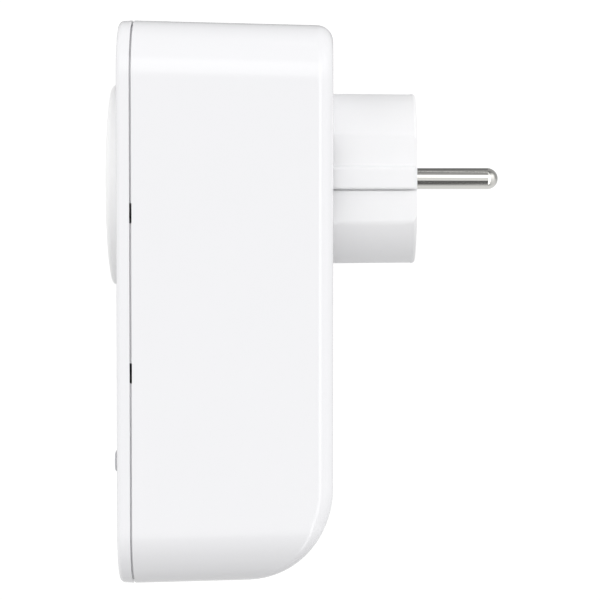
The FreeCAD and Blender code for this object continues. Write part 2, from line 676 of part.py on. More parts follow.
def transformer_winding():
    outer = on_back(*TRANSFORMER, 13.4, 11.8, 8.8, 2.1)
    return outer.cut(on_back(*TRANSFORMER, 9.2, 7.6, 12.0, 1.0))


def transformer_core():
    """Ferrite core of the transformer: a post with a yoke over its end and down two sides."""
    x, z = TRANSFORMER
    solids = [on_back(x, z, 6.8, 5.2, 12.4, 0.4), on_back(x, z, 19.0, 5.2, 2.2, 12.4)]
    for side in SIDES:
        solids.append(on_back(x + side * 8.6, z, 1.8, 5.2, 14.4, 0.2))
    return join(solids)


def round_can(x, z, r, length, edge):
    """Upright can on the rear side of the board, with a rounded end."""
    can = rod_y(x, z, r, BOARD_BACK_Y, BOARD_BACK_Y + length)
    return can.makeFillet(edge, [e for e in can.Edges
                                 if e.BoundBox.YMin > BOARD_BACK_Y + length - 0.1])


def bulk_capacitors():
    """Two electrolytic cans standing on the board."""
    cans = [round_can(x, z, CAPACITOR_R, CAPACITOR_LENGTH, 0.6) for x, z in CAPACITORS]
    return Part.Compound(cans)


def filter_capacitor():
    """Box-shaped film capacitor across the mains."""
    box = on_back(*FILTER, 14.0, 7.0, 13.0)
    return box.makeFillet(0.5, [e for e in box.Edges if e.BoundBox.YLength > 5])


def fuse():
    """Round radial fuse."""
    return round_can(*FUSE, 4.2, 8.0, 0.4)


def varistor():
    """Surge disc on two short legs."""
    disc = rod_x(BOARD_BACK_Y + 7.0, VARISTOR_Z, 4.6, *VARISTOR_X)
    x = sum(VARISTOR_X) / 2
    legs = [on_back(x, VARISTOR_Z + side * 2.0, 0.7, 0.7, 4.0) for side in SIDES]
    return join([disc] + legs)


def choke_core():
    """Closed ferrite frame of the mains choke."""
    return on_back(*CHOKE, 17.0, 12.0, 4.0, 4.0).cut(on_back(*CHOKE, 10.4, 5.4, 12.0))


def choke_winding():
    """Two coils on the long limbs of the choke."""
    coils = []
    for side in SIDES:
        z = CHOKE[1] + side * 4.35
        coil = on_back(CHOKE[0], z, 9.6, 4.9, 7.2, 2.4)
        coils.append(coil.cut(on_back(CHOKE[0], z, 12.0, 3.4, 4.1, 3.95)))
    return Part.Compound(coils)


def bridge_rectifier():
    return on_back(*BRIDGE, 8.0, 5.0, 2.6)


def coupling_transformer():
    """Small signal transformer between the mains and the modem chip."""
    return on_back(*COUPLING, 8.0, 6.5, 6.5)


def ethernet_magnetics():
    return on_back(*MAGNETICS, 12.5, 7.0, 5.0)


def modem_chip():
    return on_front(*MODEM, 13.0, 13.0, CHIP_HEIGHT)


def thermal_pad():
    x, z = MODEM
    y1 = BOARD_FRONT_Y - CHIP_HEIGHT
    return block(x - 6.0, x + 6.0, y1 - PAD_HEIGHT, y1, z - 6.0, z + 6.0)


def heat_sink():
    """Finned aluminium block on the modem chip."""
    x, z = MODEM
    y1 = BOARD_FRONT_Y - CHIP_HEIGHT - PAD_HEIGHT
    solids = [block(x - 10.0, x + 10.0, y1 - SINK_BASE, y1, z - 10.0, z + 10.0)]
    for i in range(SINK_FINS):
        left = x - 9.6 + i * SINK_PITCH
        solids.append(block(left, left + 1.0, y1 - 5.0, y1 - 1.0, z - 10.0, z + 10.0))
    return join(solids)


def memory_chip():
    return on_front(*MEMORY, 7.0, 9.0, CHIP_HEIGHT)


def crystal():
    can = on_front(*CRYSTAL, 3.2, 6.0, 1.6)
    return can.makeFillet(0.5, [e for e in can.Edges if e.BoundBox.YLength > 1])


def supply_wire(side):
    """Insulated lead from the plug pin's strap down and forward to the board."""
    x = side * PIN_X
    y0 = PIN_TAIL_Y - 1.3
    bend = WIRE_BEND_R
    down = Part.makeLine(Vector(x, y0, -3.0), Vector(x, y0, WIRE_TURN_Z + bend))
    middle = math.radians(45)
    arc = Part.Arc(
        Vector(x, y0, WIRE_TURN_Z + bend),
        Vector(x, y0 - bend * (1 - math.cos(middle)), WIRE_TURN_Z + bend * (1 - math.sin(middle))),
        Vector(x, y0 - bend, WIRE_TURN_Z),
    ).toShape()
    along = Part.makeLine(Vector(x, y0 - bend, WIRE_TURN_Z), Vector(x, BOARD_BACK_Y, WIRE_TURN_Z))
    path = Part.Wire([down, arc, along])
    circle = Part.Wire(Part.makeCircle(WIRE_R, Vector(x, y0, -3.0), Vector(0, 0, -1)))
    return path.makePipeShell([circle], True, False)


def insulation_sheet():
    """Thin sheet between the mains contacts and the board's parts."""
    sheet = block(-29.0, 29.0, -54.0, -22.0, *SHEET_Z)
    cuts = [rod_z(side * PIN_X, PIN_TAIL_Y - 1.3, WIRE_R + 0.4, -26, -24) for side in SIDES]
    return sheet.cut(cuts)


NODES = {
    "rear_housing": rear_housing,
    "front_cover": front_cover,
    "housing_screws": housing_screws,
    "rating_label": rating_label,
    "socket_insert": socket_insert,
    "socket_earth_clips": socket_earth_clips,
    "contact_carrier": contact_carrier,
    "line_socket_contact": lambda: socket_contact(-1),
    "neutral_socket_contact": lambda: socket_contact(1),
    "line_busbar": lambda: busbar(-1),
    "neutral_busbar": lambda: busbar(1),
    "socket_shutter": shutter,
    "shutter_spring": shutter_spring,
    "plug_body": plug_body,
    "line_pin": lambda: plug_pin(-1),
    "neutral_pin": lambda: plug_pin(1),
    "plug_earth_strips": plug_earth_strips,
    "earth_sleeve": earth_sleeve,
    "earth_link": earth_link,
    "line_wire": lambda: supply_wire(-1),
    "neutral_wire": lambda: supply_wire(1),
    "insulation_sheet": insulation_sheet,
    "main_board": main_board,
    "ethernet_jack": ethernet_jack,
    "jack_shield": jack_shield,
    "jack_contacts": jack_contacts,
    "pair_button": pair_button,
    "pair_switch": pair_switch,
    "pair_switch_plunger": pair_switch_plunger,
    "reset_switch": reset_switch,
    "reset_plunger": reset_plunger,
    "light_guide": light_guide,
    "led_chips": led_chips,
    "transformer_bobbin": transformer_bobbin,
    "transformer_winding": transformer_winding,
    "transformer_core": transformer_core,
    "bulk_capacitors": bulk_capacitors,
    "filter_capacitor": filter_capacitor,
    "fuse": fuse,
    "varistor": varistor,
    "choke_core": choke_core,
    "choke_winding": choke_winding,
    "bridge_rectifier": bridge_rectifier,
    "coupling_transformer": coupling_transformer,
    "ethernet_magnetics": ethernet_magnetics,
    "modem_chip": modem_chip,
    "thermal_pad": thermal_pad,
    "heat_sink": heat_sink,
    "memory_chip": memory_chip,
    "crystal": crystal,
}

for node, make in NODES.items():
    shape = make()
    shape.exportStep("parts/" + node + ".step")
    print(node, shape.isValid(), len(shape.Solids), round(shape.Volume, 1))
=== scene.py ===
import math

import bmesh
import bpy
from mathutils import Matrix, Vector


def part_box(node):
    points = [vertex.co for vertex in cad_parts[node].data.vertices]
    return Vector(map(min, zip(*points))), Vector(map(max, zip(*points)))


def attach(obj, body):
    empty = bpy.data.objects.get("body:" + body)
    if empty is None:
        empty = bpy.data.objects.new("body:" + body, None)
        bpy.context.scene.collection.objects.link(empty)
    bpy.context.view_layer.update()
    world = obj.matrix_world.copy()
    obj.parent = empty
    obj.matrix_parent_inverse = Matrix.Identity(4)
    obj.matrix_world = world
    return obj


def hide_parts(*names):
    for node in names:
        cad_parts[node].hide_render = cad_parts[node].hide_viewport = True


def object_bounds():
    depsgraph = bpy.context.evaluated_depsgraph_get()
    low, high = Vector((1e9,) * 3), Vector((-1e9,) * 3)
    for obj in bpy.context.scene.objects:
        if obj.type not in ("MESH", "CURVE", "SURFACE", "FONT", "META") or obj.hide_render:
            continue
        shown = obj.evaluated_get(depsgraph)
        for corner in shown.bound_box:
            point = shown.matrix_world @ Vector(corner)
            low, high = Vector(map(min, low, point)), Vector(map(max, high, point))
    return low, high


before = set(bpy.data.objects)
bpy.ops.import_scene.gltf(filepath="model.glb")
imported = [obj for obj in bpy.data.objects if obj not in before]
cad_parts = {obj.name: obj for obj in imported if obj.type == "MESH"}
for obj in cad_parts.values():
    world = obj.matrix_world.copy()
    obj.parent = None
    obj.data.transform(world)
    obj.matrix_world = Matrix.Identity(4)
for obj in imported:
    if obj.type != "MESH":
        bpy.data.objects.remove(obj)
cad_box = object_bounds()
scene = bpy.context.scene
MM = 0.001

# ==== Studio ===============================================================================
# A plain pale floor under a white sweep, and a long lens level with the plug's pins. The light
# is a ring of softboxes: bright and broad to the front and above, dim behind and below.

VIEW_DISTANCE = 0.600
VIEW_WIDTH = 0.1401          # width of the picture at the object's middle plane
AIM = Vector((0.0, -0.02664, -0.0283))
STATION = Vector((VIEW_DISTANCE, -0.02314, 0.0))     # level with the plug's pins
SENSOR = 36.0
NEAREST, FARTHEST = 0.01, 20.0                       # what the lens can see, in metres

camera_data = bpy.data.cameras.new("camera")
camera_data.sensor_width = SENSOR
camera_data.lens = SENSOR * (AIM - STATION).length / VIEW_WIDTH
camera_data.clip_start = NEAREST
camera_data.clip_end = FARTHEST
camera = bpy.data.objects.new("camera", camera_data)
camera.location = STATION
camera.rotation_euler = (AIM - STATION).to_track_quat("-Z", "Y").to_euler()
scene.collection.objects.link(camera)
scene.camera = camera
scene.view_settings.view_transform = "Standard"
scene.view_settings.look = "None"


def linear(code):
    """sRGB hex to a linear colour."""
    parts = [int(code[i:i + 2], 16) / 255 for i in (0, 2, 4)]
    out = [c / 12.92 if c <= 0.04045 else ((c + 0.055) / 1.055) ** 2.4 for c in parts]
    return (*out, 1.0)


def put(tree, kind, settings=None, links=None):
    """Adds one node. settings: socket name or attribute to value. links: socket to output."""
    node = tree.nodes.new(kind)
    for key, value in (settings or {}).items():
        if key in node.inputs:
            node.inputs[key].default_value = value
        else:
            setattr(node, key, value)
    for key, output in (links or {}).items():
        tree.links.new(output, node.inputs[key])
    return node


def stops(ramp_node, marks):
    """Sets a colour ramp's stops to (place, grey level) pairs."""
    ramp = ramp_node.color_ramp
    while len(ramp.elements) > 1:
        ramp.elements.remove(ramp.elements[-1])
    for i, (place, level) in enumerate(marks):
        mark = ramp.elements[0] if i == 0 else ramp.elements.new(place)
        mark.position = place
        mark.color = (level, level, level, 1.0)
    return ramp_node


# The softboxes as a sky. Each _SKY gives radiance by degrees above the horizon. Each ON_ or IN_
# gives that layer's weight by degrees round from straight out, + towards the plug. The layers
# are a narrow strip towards the lens, the rest of the front, the plug's side, the socket's side
# and the back. The dark panels and the edge light only show as reflections, and the two sides
# only as scattered light.
SKY_STRENGTH = 1.085
STRIP_SKY = ((-90, 0.6), (-72, 0.55), (-66, 0.12), (-24, 0.12), (-18, 0.95), (-3, 0.9),
             (0, 0.8), (3, 0.9), (11, 1.0), (14, 1.8), (36, 1.8), (44, 0.5), (58, 0.4),
             (70, 0.25), (90, 0.3))
FRONT_SKY = ((-90, 0.5), (-60, 0.6), (-35, 0.78), (-8, 0.97), (8, 1.2), (28, 1.47), (42, 0.9),
             (58, 0.3), (90, 0.1))
PLUG_SIDE_SKY = ((-90, 0.05), (-45, 0.08), (-20, 0.3), (0, 1.3), (35, 2.1), (58, 1.6),
                 (75, 0.5), (90, 0.1))
BACK_SKY = ((-90, 0.8), (-5, 0.8), (0, 0.4), (5, 0.2), (60, 0.15), (90, 0.15))
ON_STRIP = ((-14, 0.0), (-8, 1.0), (8, 1.0), (14, 0.0))
IN_FRONT = ((-110, 0.0), (-75, 1.0), (75, 1.0), (110, 0.0))
EDGE_LIGHT_SKY = ((-65, 0.8), (-60, 2.9), (34, 2.9), (40, 1.2))
ON_EDGE_LIGHT = ((15, 0.0), (18, 1.0), (31, 1.0), (36, 0.0))
SOCKET_SIDE_SKY = ((-90, 0.2), (-30, 0.3), (-10, 0.8), (10, 1.3), (35, 1.6), (55, 0.8),
                   (75, 0.2), (90, 0.1))
ON_SOCKET_SIDE = ((-150, 0.0), (-130, 1.0), (-65, 1.0), (-45, 0.0))
ON_PLUG_SIDE = ((28, 0.0), (45, 0.6), (130, 0.7), (160, 0.0))
DARK_PANEL_SKY = ((-90, 0.9), (-30, 0.8), (-10, 0.6), (0, 0.45), (90, 0.35))
ON_DARK_PANEL = ((-176, 0.0), (-165, 1.0), (-60, 1.0), (-40, 0.0), (80, 0.0), (120, 1.0),
                 (165, 1.0), (176, 0.0))
world = bpy.data.worlds.new("studio")
world.use_nodes = True
scene.world = world
air = world.node_tree
air.nodes.clear()


def calc(tree, operation, first, second=None):
    """One sum on numbers or outputs."""
    node = put(tree, "ShaderNodeMath", {"operation": operation})
    for socket, value in zip(node.inputs, (first, second)):
        if isinstance(value, bpy.types.NodeSocket):
            tree.links.new(value, socket)
        elif value is not None:
            socket.default_value = value
    return node.outputs["Value"]


def graded(tree, angle, marks, span):
    """Grey level by angle in degrees, from (angle, level) marks over -span to +span."""
    place = calc(tree, "MULTIPLY_ADD", angle, 0.5 / math.radians(span))
    place.node.inputs[2].default_value = 0.5
    levels = [((degrees / span + 1) / 2, level) for degrees, level in marks]
    top = max(level for _, level in levels)
    ramp = put(tree, "ShaderNodeValToRGB", links={"Fac": place})
    stops(ramp, [(at, level / top) for at, level in levels])
    return calc(tree, "MULTIPLY", ramp.outputs["Color"], top)


direction = put(air, "ShaderNodeTexCoord").outputs["Generated"]
split = put(air, "ShaderNodeSeparateXYZ", links={"Vector": direction})
rise = calc(air, "ARCSINE", split.outputs["Z"])
around = calc(air, "ARCTAN2", split.outputs["Y"], split.outputs["X"])
sky = graded(air, rise, BACK_SKY, 90)
mirrored = put(air, "ShaderNodeLightPath").outputs["Is Glossy Ray"]
scattered = calc(air, "SUBTRACT", 1.0, mirrored)
for heights, places, rays in ((FRONT_SKY, IN_FRONT, 1.0),
                              (PLUG_SIDE_SKY, ON_PLUG_SIDE, scattered),
                              (SOCKET_SIDE_SKY, ON_SOCKET_SIDE, scattered),
                              (DARK_PANEL_SKY, ON_DARK_PANEL, mirrored),
                              (EDGE_LIGHT_SKY, ON_EDGE_LIGHT, mirrored),
                              (STRIP_SKY, ON_STRIP, 1.0)):
    weight = calc(air, "MULTIPLY", graded(air, around, places, 180), rays)
    change = calc(air, "SUBTRACT", graded(air, rise, heights, 90), sky)
    sky = calc(air, "ADD", sky, calc(air, "MULTIPLY", change, weight))
surround = put(air, "ShaderNodeBackground", {"Strength": SKY_STRENGTH}, {"Color": sky})
put(air, "ShaderNodeOutputWorld", links={"Surface": surround.outputs["Background"]})


def make_mesh(name, verts, faces):
    mesh = bpy.data.meshes.new(name)
    mesh.from_pydata(verts, [], faces)
    mesh.validate()
    piece = bpy.data.objects.new(name, mesh)
    scene.collection.objects.link(piece)
    return piece


def lit_by_itself(name, code, strength):
    """Evenly lit matt paper."""
    material = bpy.data.materials.new(name)
    material.use_nodes = True
    tree = material.node_tree
    tree.nodes.clear()
    glow = put(tree, "ShaderNodeEmission", {"Color": linear(code), "Strength": strength})
    put(tree, "ShaderNodeOutputMaterial", links={"Surface": glow.outputs["Emission"]})
    return material


FLOOR_DROP = 0.06             # the object is held this far above the floor
SWEEP_R = 3.0
floor_z = cad_box[0][2] - FLOOR_DROP
floor = make_mesh("floor", [(x * SWEEP_R, y * SWEEP_R, floor_z)
                            for x, y in ((-1, -1), (1, -1), (1, 1), (-1, 1))], [(0, 1, 2, 3)])
ball = bmesh.new()
bmesh.ops.create_icosphere(ball, subdivisions=4, radius=SWEEP_R)
bmesh.ops.reverse_faces(ball, faces=ball.faces)
sweep_mesh = bpy.data.meshes.new("white_sweep")
ball.to_mesh(sweep_mesh)
ball.free()
sweep = bpy.data.objects.new("white_sweep", sweep_mesh)
scene.collection.objects.link(sweep)
paper = lit_by_itself("pale_studio_paper", "FFFFFF", 1.05)
for backing in (floor, sweep):
    backing.data.materials.append(paper)
    backing.visible_diffuse = False
    backing.visible_glossy = False
    backing.visible_transmission = False
    backing.visible_shadow = False

# ==== Rear housing =========================================================================
# One deep moulding in glossy white ABS. Its section is a rounded oblong that tapers to the
# back, with a big curve from the underside up to the back and a softly rounded rear edge.

shell_low, shell_high = (Vector(c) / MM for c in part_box("rear_housing"))
HALF_WIDTH, TOP, BOTTOM, CORNER = shell_high.x, shell_high.z, shell_low.z, 13.0
LIP_END, REAR = shell_low.y, shell_high.y
SEAM = LIP_END + 1.45
WALL, LIP = 2.0, 1.0
REAR_ROUND, HEEL = 3.6, 21.3
SEAM_ROUND = 0.22
TAPER = math.tan(math.radians(1.4))
CORNER_STEPS, FOOT_STEPS = 18, 36
HEEL_RINGS, REAR_RINGS, SEAM_RINGS, INNER_RINGS = 28, 10, 4, 14


def rounded_in(depth, r):
    """How far an edge of radius r stands in from its side, this deep below its end."""
    return r - math.sqrt(max(r ** 2 - (r - depth) ** 2, 0.0)) if depth < r else 0.0


def foot_point(lift, along, half, corner, heel_r, edge_r):
    """Half-width at a height above the underside, with the lower corner and the heel's edge."""
    half -= rounded_in(lift, corner)
    if along > 0:
        turn = math.atan2(along, heel_r - lift)
        met = max(corner - heel_r * (1 - math.cos(turn)), 0.0) / corner
        edge = edge_r * math.tan((math.radians(90) - math.asin(met)) / 2)
        half -= rounded_in(heel_r - math.hypot(along, heel_r - lift), edge)
    return half


def housing_ring(y, inset, round_rear=True):
    """Ring of points round the housing's section at depth y, in millimetres."""
    taper = TAPER * max(y - SEAM, 0.0)
    edge_r = REAR_ROUND if round_rear else 0.0
    edge = rounded_in(REAR - y, edge_r)
    along = max(y - (REAR - HEEL), 0.0)
    corner, heel_r = CORNER - inset, HEEL - inset
    bottom, half = BOTTOM + inset + taper, HALF_WIDTH - inset - taper
    start = heel_r - math.sqrt(max(heel_r ** 2 - along ** 2, 0.0))
    foot = []
    for i in range(FOOT_STEPS + 1):
        lift = heel_r - (heel_r - start) * math.cos(math.radians(90 * i / FOOT_STEPS))
        x = foot_point(lift, along, half, corner, heel_r, edge_r)
        foot.append((x, y, bottom + lift))
    ring = list(foot)
    r = corner - edge
    high = TOP - inset - taper - edge - r
    for side, begin in ((half - edge - r, 0), (r + edge - half, 90)):
        for i in range(CORNER_STEPS + 1):
            a = math.radians(begin + 90 * i / CORNER_STEPS)
            ring.append((side + r * math.cos(a), y, high + r * math.sin(a)))
    ring.extend((-x, y, z) for x, y, z in reversed(foot))
    return ring


def skin(name, rings):
    """Closed mesh through rings of equal length, flat at both ends."""
    count = len(rings[0])
    verts = [tuple(c * MM for c in p) for ring in rings for p in ring]
    faces = []
    for r in range(len(rings) - 1):
        a, b = r * count, (r + 1) * count
        for i in range(count):
            j = (i + 1) % count
            faces.append((a + i, a + j, b + j, b + i))
    faces.append(tuple(range(count))[::-1])
    faces.append(tuple(range((len(rings) - 1) * count, len(rings) * count)))
    piece = make_mesh(name, verts, faces)
    tidy(piece)
    return piece


def tidy(piece):
    """Merges doubles and turns every face outwards."""
    work = bmesh.new()
    work.from_mesh(piece.data)
    bmesh.ops.remove_doubles(work, verts=work.verts, dist=1e-7)
    bmesh.ops.recalc_face_normals(work, faces=work.faces)
    work.to_mesh(piece.data)
    work.free()


def apply_modifiers(piece):
    graph = bpy.context.evaluated_depsgraph_get()
    mesh = bpy.data.meshes.new_from_object(piece.evaluated_get(graph))
    piece.modifiers.clear()
    old = piece.data
    piece.data = mesh
    bpy.data.meshes.remove(old)


def combine(piece, tools, how):
    """Joins solids to a piece or cuts them out of it."""
    for tool in tools:
        step = piece.modifiers.new(how.lower(), "BOOLEAN")
        step.operation = how
        step.solver = "EXACT"
        step.object = tool
    bpy.context.view_layer.update()
    apply_modifiers(piece)
    for tool in tools:
        bpy.data.objects.remove(tool)


def finish_edges(piece, angle=32.0):
    """Smooth faces, crisp edges past the angle, and flat faces kept flat."""
    work = bmesh.new()
    work.from_mesh(piece.data)
    bmesh.ops.remove_doubles(work, verts=work.verts, dist=2e-6)
    bmesh.ops.dissolve_degenerate(work, edges=work.edges, dist=1e-6)
    limit = math.radians(angle)
    for face in work.faces:
        face.smooth = True
    for edge in work.edges:
        edge.smooth = len(edge.link_faces) == 2 and edge.calc_face_angle(0) < limit
    work.to_mesh(piece.data)
    work.free()
    step = piece.modifiers.new("weighted", "WEIGHTED_NORMAL")
    step.keep_sharp = True
    step.weight = 90
    bpy.context.view_layer.update()
    apply_modifiers(piece)


def bar(x0, x1, y0, y1, z0, z1):
    """Square-edged cutter, in millimetres."""
    corners = [(x * MM, y * MM, z * MM) for x in (x0, x1) for y in (y0, y1) for z in (z0, z1)]
    faces = [(0, 1, 3, 2), (4, 6, 7, 5), (0, 4, 5, 1), (2, 3, 7, 6), (0, 2, 6, 4), (1, 5, 7, 3)]
    piece = make_mesh("bar", corners, faces)
    tidy(piece)
    return piece


def turned(name, profile, steps=96, x=0.0, z=0.0):
    """Solid turned about an axis along Y, from (radius, y) points; ends close on the axis."""
    rings = []
    for radius, y in profile:
        ring = []
        for i in range(steps):
            a = 2 * math.pi * i / steps
            ring.append((x + radius * math.cos(a), y, z + radius * math.sin(a)))
        rings.append(ring)
    return skin(name, rings)


def round_bar(x, z, r, y0, y1, steps=48):
    return turned("round_bar", ((r, y0), (r, y1)), steps, x, z)


def arc_steps(r, count):
    """(along, inward) offsets of a quarter round, from the side to the end face."""
    return [(r * math.sin(math.radians(90 * i / count)),
             r * (1 - math.cos(math.radians(90 * i / count)))) for i in range(count + 1)]


levels = {SEAM + SEAM_ROUND, REAR, REAR - REAR_ROUND}
levels.update(REAR - HEEL + HEEL * math.sin(math.radians(90 * i / HEEL_RINGS))
              for i in range(HEEL_RINGS + 1))
levels.update(REAR - REAR_ROUND + REAR_ROUND * math.sin(math.radians(90 * i / REAR_RINGS))
              for i in range(REAR_RINGS + 1))
levels.update((SEAM + 1.5, SEAM + 12.0, REAR - HEEL - 1.5))       # keep the long faces even
outer_rings = [housing_ring(y, 0.0) for y in sorted(levels, reverse=True)]
for along, inward in arc_steps(SEAM_ROUND, SEAM_RINGS)[1:]:
    outer_rings.append(housing_ring(SEAM + SEAM_ROUND - along, inward))
lip_rings = [
    housing_ring(SEAM, LIP, False),
    housing_ring(LIP_END, LIP, False),
    housing_ring(LIP_END, WALL, False),
]
inner_levels = [SEAM]
for i in range(INNER_RINGS + 1):
    inner_levels.append(REAR - HEEL + (HEEL - WALL) * math.sin(math.radians(90 * i / INNER_RINGS)))
inner_rings = [housing_ring(y, WALL, False) for y in inner_levels]
housing = skin("rear_housing_shell", outer_rings + lip_rings + inner_rings)

SCREWS = ((-23.5, 24.0), (23.5, 24.0), (-25.5, -66.0), (25.5, -66.0))
SCREW_SEAT = -46.0
POST_R, POST_FRONT = 4.2, -55.2
COUNTERBORE_R, PILOT_R = 3.1, 1.7
towers = [round_bar(x, z, POST_R, POST_FRONT, REAR - 0.8) for x, z in SCREWS]
combine(housing, towers, "UNION")

LABEL = (-20.0, 20.0, -54.0, -27.0)                   # x0, x1, z0, z1
LABEL_GAP = 0.3
PLUG_HOLE_R = 19.95
PORT_X, PORT_HALF, PORT_FRONT, PORT_BACK = -10.0, 8.2, -55.4, -41.5
VENTS, VENT_PITCH, VENT_HALF, VENT_FRONT, VENT_BACK = 9, 4.2, 0.7, -54, -34
NOTCHES, NOTCH_HALF, NOTCH_BITE = (-7.6, -43.0), 2.225, 0.12
RESET_PLACE, RESET_R = (12.0 * MM, -52.5 * MM, -91.0 * MM), 1.0
cutters = [round_bar(0, 0, PLUG_HOLE_R, -25, REAR + 5, 128)]
for x, z in SCREWS:
    cutters.append(round_bar(x, z, COUNTERBORE_R, SCREW_SEAT, REAR + 5))
    cutters.append(round_bar(x, z, PILOT_R, -60, SCREW_SEAT + 1))
cutters.append(bar(PORT_X - PORT_HALF, PORT_X + PORT_HALF, PORT_FRONT, PORT_BACK, BOTTOM - 3,
                   BOTTOM + 5))
for i in range(VENTS):
    x = (i - VENTS // 2) * VENT_PITCH
    cutters.append(bar(x - VENT_HALF, x + VENT_HALF, VENT_FRONT, VENT_BACK, TOP - 5, TOP + 3))
cutters.append(bar(LABEL[0] - LABEL_GAP, LABEL[1] + LABEL_GAP, REAR - LABEL_GAP, REAR + 3,
                   LABEL[2] - LABEL_GAP, LABEL[3] + LABEL_GAP))
for z in NOTCHES:
    cutters.append(bar(-40, 40, -67, SEAM + NOTCH_BITE, z - NOTCH_HALF, z + NOTCH_HALF))
reset_bore = round_bar(0, 0, RESET_R, -4, 4, 32)
reset_bore.data.transform(Matrix.Rotation(math.radians(90), 4, "X"))
reset_bore.data.transform(Matrix.Translation(RESET_PLACE))
cutters.append(reset_bore)
combine(housing, cutters, "DIFFERENCE")
finish_edges(housing)


CLOUD = 0.018                 # width of the faint changes of gloss and tone, in metres


def moulded_plastic(name, code, rough, grain=0.0006, depth=0.02, shine=0.5):
    """Moulded plastic: an even colour, a faint change of gloss and a very shallow waviness.
    grain is the waviness's real width in metres, 0.6 mm on a polished mould."""
    material = bpy.data.materials.new(name)
    material.use_nodes = True
    tree = material.node_tree
    tree.nodes.clear()
    spot = put(tree, "ShaderNodeTexCoord").outputs["Object"]
    cloud = put(tree, "ShaderNodeTexNoise", {"Scale": 1 / CLOUD, "Detail": 3.0},
                {"Vector": spot})
    fine = put(tree, "ShaderNodeTexNoise", {"Scale": 1 / grain, "Detail": 2.0},
               {"Vector": spot})
    gloss = put(tree, "ShaderNodeMapRange",
                {"From Min": 0.3, "From Max": 0.7, "To Min": rough * 0.94, "To Max": rough * 1.08},
                {"Value": cloud.outputs["Fac"]})
    base = linear(code)
    darker = tuple(c * 0.985 for c in base[:3]) + (1.0,)
    tone = put(tree, "ShaderNodeMix", {"data_type": "RGBA"})
    tone.inputs[6].default_value = base
    tone.inputs[7].default_value = darker
    tree.links.new(cloud.outputs["Fac"], tone.inputs["Factor"])
    bump = put(tree, "ShaderNodeBump", {"Strength": depth, "Distance": 0.00005},
               {"Height": fine.outputs["Fac"]})
    shader = put(tree, "ShaderNodeBsdfPrincipled", {"IOR": 1.5, "Specular IOR Level": shine},
                 {"Base Color": tone.outputs[2], "Roughness": gloss.outputs["Result"],
                  "Normal": bump.outputs["Normal"]})
    put(tree, "ShaderNodeOutputMaterial", links={"Surface": shader.outputs["BSDF"]})
    return material


def dress(piece, material):
    piece.data.materials.clear()
    piece.data.materials.append(material)
    for face in piece.data.polygons:
        face.material_index = 0


# Polished mould: white, with a clear reflection that is only a little soft.
white_abs = moulded_plastic("gloss_white_abs_moulded", "F1F1F3", 0.12)
dress(housing, white_abs)
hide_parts("rear_housing")
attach(housing, "housing")

# ==== Front cover ==========================================================================
# Thin plate in the same white ABS, clipped over the housing's lip. Its front edge is softly
# rounded, and it has the collar's hole, a pill-shaped button hole and three light holes.

def softened(node, name, edge, segments=2, angle=40.0):
    """Copy of a CAD solid with merged faces and a fine round on every moulded edge."""
    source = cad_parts[node]
    piece = bpy.data.objects.new(name, source.data.copy())
    scene.collection.objects.link(piece)
    work = bmesh.new()
    work.from_mesh(piece.data)
    bmesh.ops.remove_doubles(work, verts=work.verts, dist=2e-6)
    bmesh.ops.dissolve_limit(work, angle_limit=math.radians(0.6), verts=work.verts,
                             edges=work.edges, delimit={"NORMAL"})
    work.to_mesh(piece.data)
    work.free()
    if edge:
        step = piece.modifiers.new("edge", "BEVEL")
        step.width = edge * MM
        step.segments = segments
        step.limit_method = "ANGLE"
        step.angle_limit = math.radians(angle)
        step.use_clamp_overlap = True
        bpy.context.view_layer.update()
        apply_modifiers(piece)
    finish_edges(piece)
    return piece


def stand_for(piece, node, material, body="housing"):
    dress(piece, material)
    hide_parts(node)
    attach(piece, body)


cover = softened("front_cover", "front_cover_plate", 0.15)
stand_for(cover, "front_cover", white_abs)

# ==== Socket moulding ======================================================================
# White heat-resistant moulding: a collar proud of the cover round a deep well, with side ribs,
# two pin entries in its floor and slots for the earth clips.

# Finely etched mould: whiter and less shiny than the ABS, with broad soft highlights.
white_pbt = moulded_plastic("satin_white_pbt_moulded", "FAFAFA", 0.42, shine=0.35)
socket = softened("socket_insert", "socket_moulding", 0.15)
stand_for(socket, "socket_insert", white_pbt)
stand_for(softened("socket_shutter", "socket_shutter_wings", 0.1), "socket_shutter", white_pbt,
          "socket_shutter")

# ==== Push button ==========================================================================
# Small pill-shaped button in light grey ABS with a soft crown, kept in by its flange.

# Fine satin mould: light grey, a soft highlight along the crown.
grey_abs = moulded_plastic("satin_grey_abs_moulded", "BEBEC2", 0.22)
button = softened("pair_button", "push_button", 0.12)
stand_for(button, "pair_button", grey_abs, "pair_button")

# ==== Plug moulding ========================================================================
# Round white plug with a flat on each side, a raised rib along each flat, and recesses for
# the earth strips above and below.

plug = softened("plug_body", "plug_moulding", 0.18)
# Satin mould: white, with the highlights spread wide over the round.
white_nylon = moulded_plastic("satin_white_nylon_moulded", "F5F5F6", 0.42, shine=0.3)
stand_for(plug, "plug_body", white_nylon)

# ==== Plug pins and earth metal ============================================================
# Solid brass pins, turned and plated with bright nickel, with domed ends. The earth strips and
# clips are nickel-plated spring brass, punched and bent.

